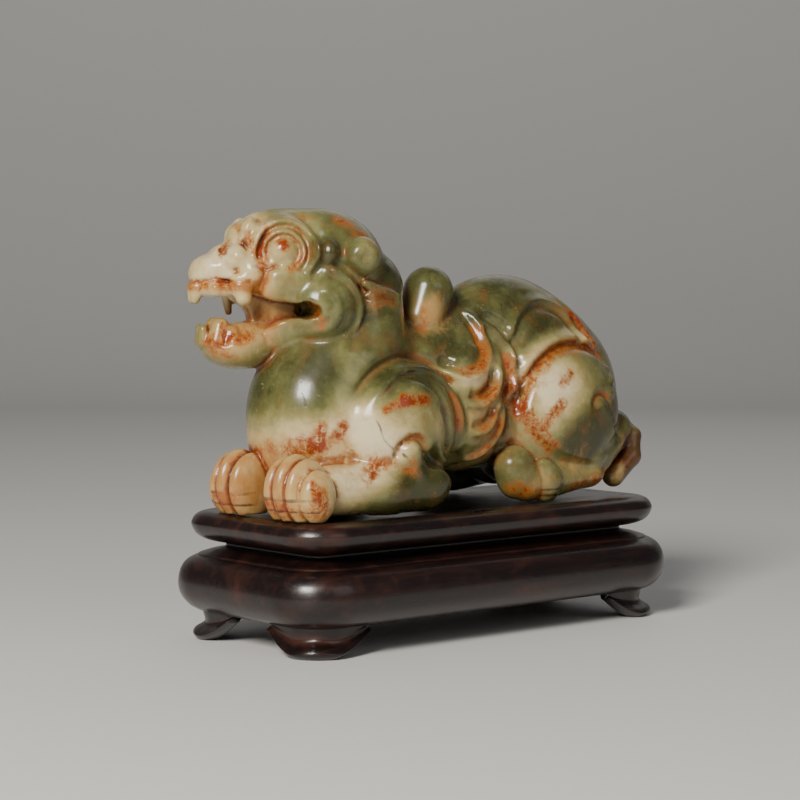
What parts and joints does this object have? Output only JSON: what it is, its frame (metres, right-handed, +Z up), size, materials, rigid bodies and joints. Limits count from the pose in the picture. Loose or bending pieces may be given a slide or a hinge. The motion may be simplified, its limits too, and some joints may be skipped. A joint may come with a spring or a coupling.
{
  "type": "jade beast carving",
  "caption": "Small carved jade mythical beast lying with open mouth on a moulded dark hardwood stand with bracket feet; a shelf or table ornament",
  "frame": {"origin": "centre of the stand's footprint, on the ground under its feet", "axes": "+Z up, the beast faces -X along the length of the stand, the side pictured is -Y"},
  "size_m": [0.1194, 0.0578, 0.0987],
  "materials": {
    "dark_wood": "dark reddish-brown, nearly black hardwood, wax polished, fine open pores",
    "jade": "polished celadon and cream nephrite with russet stain in the cuts"
  },
  "bodies": {
    "root": {"wood_stand": "dark_wood", "jade_beast": "jade"}
  },
  "joints": []
}
